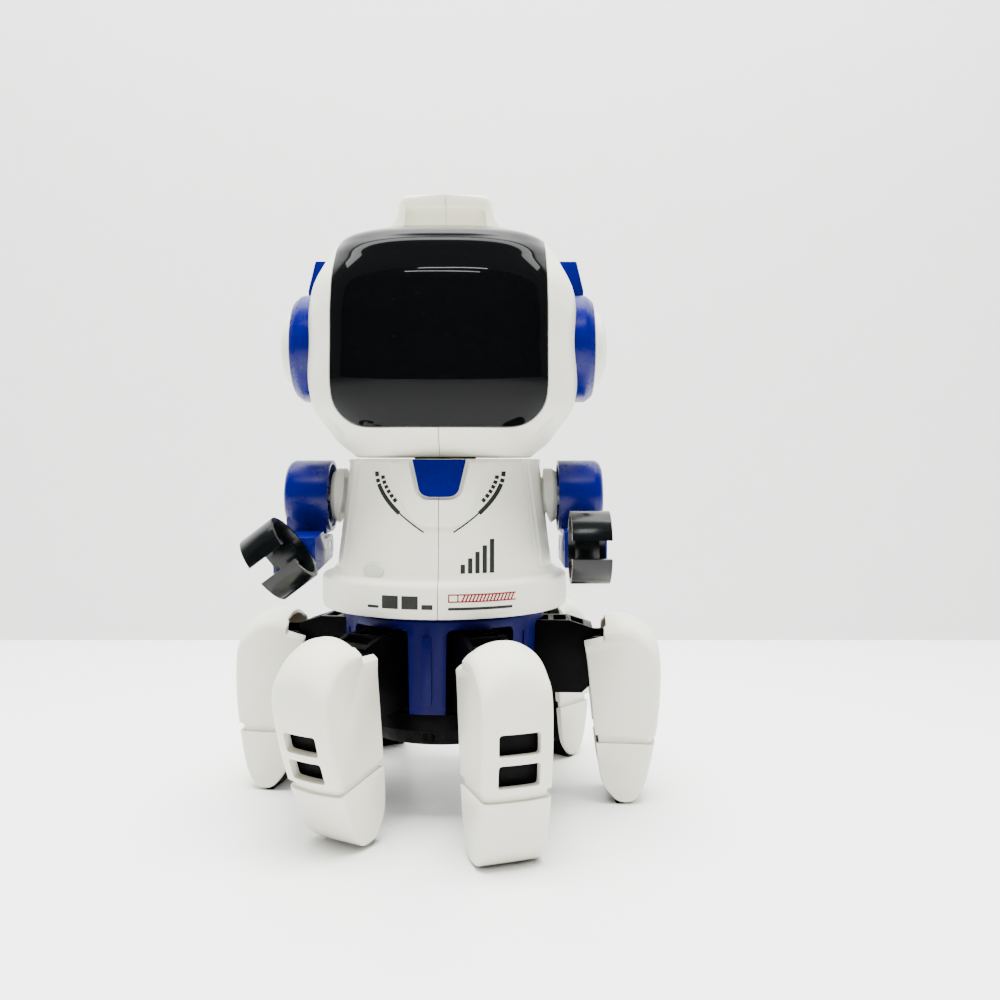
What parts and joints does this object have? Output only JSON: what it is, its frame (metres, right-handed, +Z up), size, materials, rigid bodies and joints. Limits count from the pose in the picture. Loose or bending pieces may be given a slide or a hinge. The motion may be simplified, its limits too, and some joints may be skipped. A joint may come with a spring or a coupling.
{
  "type": "walking robot toy",
  "caption": "Toy robot with humanoid upper body, black visor and clawed arms, walking on legs set round a turning pelvis.",
  "frame": {"origin": "on the floor, under the vertical axis of the torso and pelvis", "axes": "+Z up, the robot faces -Y, its own left side is +X"},
  "size_m": [0.1399, 0.1353, 0.1945],
  "materials": {
    "white_plastic": "satin moulded plastic",
    "grey_plastic": "satin moulded plastic",
    "blue_plastic": "gloss moulded plastic",
    "black_plastic": "satin moulded plastic",
    "claw_plastic": "gloss moulded plastic",
    "visor_plastic": "polished, smoked",
    "steel": "plated",
    "brass": "machined",
    "cell_wrap": "printed sleeve",
    "board": "lacquered board",
    "gear_plastic": "moulded nylon",
    "speaker_paper": "paper cone"
  },
  "bodies": {
    "pelvis": {"pelvis_drum": "blue_plastic", "base_plate": "black_plastic", "base_screws": "steel", "centre_column": "black_plastic", "waist_clip": "steel"},
    "torso": {"torso_shell_left": "white_plastic", "torso_shell_right": "white_plastic", "torso_floor": "black_plastic", "chest_insert": "blue_plastic", "shoulder_cup_left": "grey_plastic", "shoulder_cup_right": "grey_plastic", "battery_door": "white_plastic", "batteries": "cell_wrap", "battery_contacts": "steel", "control_board": "board", "drive_motor": "steel", "motor_bracket": "steel"},
    "head": {"head_shell_left": "white_plastic", "head_shell_right": "white_plastic", "visor": "visor_plastic", "ear_ring_left": "blue_plastic", "ear_ring_right": "blue_plastic", "ear_cap_left": "white_plastic", "ear_cap_right": "white_plastic", "ear_fin_left": "blue_plastic", "ear_fin_right": "blue_plastic", "eye_light_board": "board", "speaker": "speaker_paper", "neck_post": "black_plastic"},
    "drive_train": {"drive_shaft": "steel", "drive_gear": "gear_plastic"},
    "pinion": {"motor_pinion": "brass"},
    "button": {"touch_button": "grey_plastic"},
    "switch": {"power_switch": "black_plastic"},
    "tripod_a": {"leg_carrier_a": "black_plastic", "leg_pins_a": "steel"},
    "tripod_b": {"leg_carrier_b": "black_plastic", "leg_pins_b": "steel"},
    "upper_arm_left": {"upper_arm_left": "blue_plastic", "shoulder_pin_left": "steel"},
    "forearm_left": {"forearm_left": "blue_plastic", "elbow_pin_left": "steel"},
    "claw_left": {"claw_left": "claw_plastic"},
    "upper_arm_right": {"upper_arm_right": "blue_plastic", "shoulder_pin_right": "steel"},
    "forearm_right": {"forearm_right": "blue_plastic", "elbow_pin_right": "steel"},
    "claw_right": {"claw_right": "claw_plastic"},
    "leg_front_left": {"leg_front_left_cover": "white_plastic", "leg_front_left_frame": "black_plastic"},
    "leg_middle_left": {"leg_middle_left_cover": "white_plastic", "leg_middle_left_frame": "black_plastic"},
    "leg_rear_left": {"leg_rear_left_cover": "white_plastic", "leg_rear_left_frame": "black_plastic"},
    "leg_rear_right": {"leg_rear_right_cover": "white_plastic", "leg_rear_right_frame": "black_plastic"},
    "leg_middle_right": {"leg_middle_right_cover": "white_plastic", "leg_middle_right_frame": "black_plastic"},
    "leg_front_right": {"leg_front_right_cover": "white_plastic", "leg_front_right_frame": "black_plastic"}
  },
  "joints": [
    {"name": "waist_turn", "type": "hinge", "parent": "pelvis", "child": "torso", "pos_m": [0, 0, 0.064], "axis": [0, 0, 1], "range_deg": [-45, 45]},
    {"name": "head_turn", "type": "hinge", "parent": "torso", "child": "head", "pos_m": [0, 0, 0.107], "axis": [0, 0, 1], "range_deg": [-60, 60]},
    {"name": "drive_spin", "type": "hinge", "parent": "torso", "child": "drive_train", "pos_m": [0, 0, 0.069], "axis": [0, 0, 1], "continuous": true},
    {"name": "pinion_spin", "type": "hinge", "parent": "torso", "child": "pinion", "pos_m": [0, -0.018, 0.069], "axis": [0, 0, 1], "continuous": true},
    {"name": "button_press", "type": "slide", "parent": "torso", "child": "button", "axis": [0.5446, 0.8387, 0], "range_m": [0, 0.0008], "stiffness_N_per_m": 300},
    {"name": "switch_slide", "type": "slide", "parent": "torso", "child": "switch", "axis": [1, 0, 0], "range_m": [-0.0024, 0.0014]},
    {"name": "tripod_a_swing", "type": "hinge", "parent": "pelvis", "child": "tripod_a", "pos_m": [0, 0, 0.051], "axis": [0, 0, 1], "range_deg": [-3, 11]},
    {"name": "tripod_b_swing", "type": "hinge", "parent": "pelvis", "child": "tripod_b", "pos_m": [0, 0, 0.04], "axis": [0, 0, 1], "range_deg": [-11, 3]},
    {"name": "shoulder_left", "type": "hinge", "parent": "torso", "child": "upper_arm_left", "pos_m": [0.0433, 0, 0.0963], "axis": [1, 0, 0], "range_deg": [-40, 5]},
    {"name": "elbow_left", "type": "hinge", "parent": "upper_arm_left", "child": "forearm_left", "pos_m": [0.0433, -0.002, 0.0805], "axis": [1, 0, 0], "range_deg": [-10, 10]},
    {"name": "wrist_left", "type": "hinge", "parent": "forearm_left", "child": "claw_left", "pos_m": [0.0433, -0.028, 0.0798], "axis": [0, 1, 0], "range_deg": [-90, 90]},
    {"name": "shoulder_right", "type": "hinge", "parent": "torso", "child": "upper_arm_right", "pos_m": [-0.0433, 0, 0.0963], "axis": [1, 0, 0], "range_deg": [-40, 5]},
    {"name": "elbow_right", "type": "hinge", "parent": "upper_arm_right", "child": "forearm_right", "pos_m": [-0.0433, -0.002, 0.0805], "axis": [1, 0, 0], "range_deg": [-14, 6]},
    {"name": "wrist_right", "type": "hinge", "parent": "forearm_right", "child": "claw_right", "pos_m": [-0.0433, -0.02789, 0.07799], "axis": [0, 0.9976, 0.0698], "range_deg": [-53, 127]},
    {"name": "leg_tilt_front_left", "type": "hinge", "parent": "tripod_a", "child": "leg_front_left", "pos_m": [0.01886, -0.05326, 0.045], "axis": [0.9426, 0.3338, 0], "range_deg": [-2, 14]},
    {"name": "leg_tilt_middle_left", "type": "hinge", "parent": "tripod_b", "child": "leg_middle_left", "pos_m": [0.05645, -0.00246, 0.045], "axis": [0.0436, 0.999, 0], "range_deg": [-3.5, 12.5]},
    {"name": "leg_tilt_rear_left", "type": "hinge", "parent": "tripod_a", "child": "leg_rear_left", "pos_m": [0.03669, 0.04296, 0.045], "axis": [-0.7604, 0.6494, 0], "range_deg": [-2, 14]},
    {"name": "leg_tilt_rear_right", "type": "hinge", "parent": "tripod_b", "child": "leg_rear_right", "pos_m": [-0.02609, 0.05012, 0.045], "axis": [-0.887, -0.4617, 0], "range_deg": [-1, 15]},
    {"name": "leg_tilt_middle_right", "type": "hinge", "parent": "tripod_a", "child": "leg_middle_right", "pos_m": [-0.05555, 0.0103, 0.045], "axis": [-0.1822, -0.9833, 0], "range_deg": [-2, 14]},
    {"name": "leg_tilt_front_right", "type": "hinge", "parent": "tripod_b", "child": "leg_front_right", "pos_m": [-0.03036, -0.04765, 0.045], "axis": [0.8434, -0.5373, 0], "range_deg": [-15.5, 0.5]}
  ],
  "couplings": [
    {"joint": "pinion_spin", "follows": "drive_spin", "ratio": -5},
    {"joint": "tripod_b_swing", "follows": "tripod_a_swing", "ratio": -1}
  ]
}
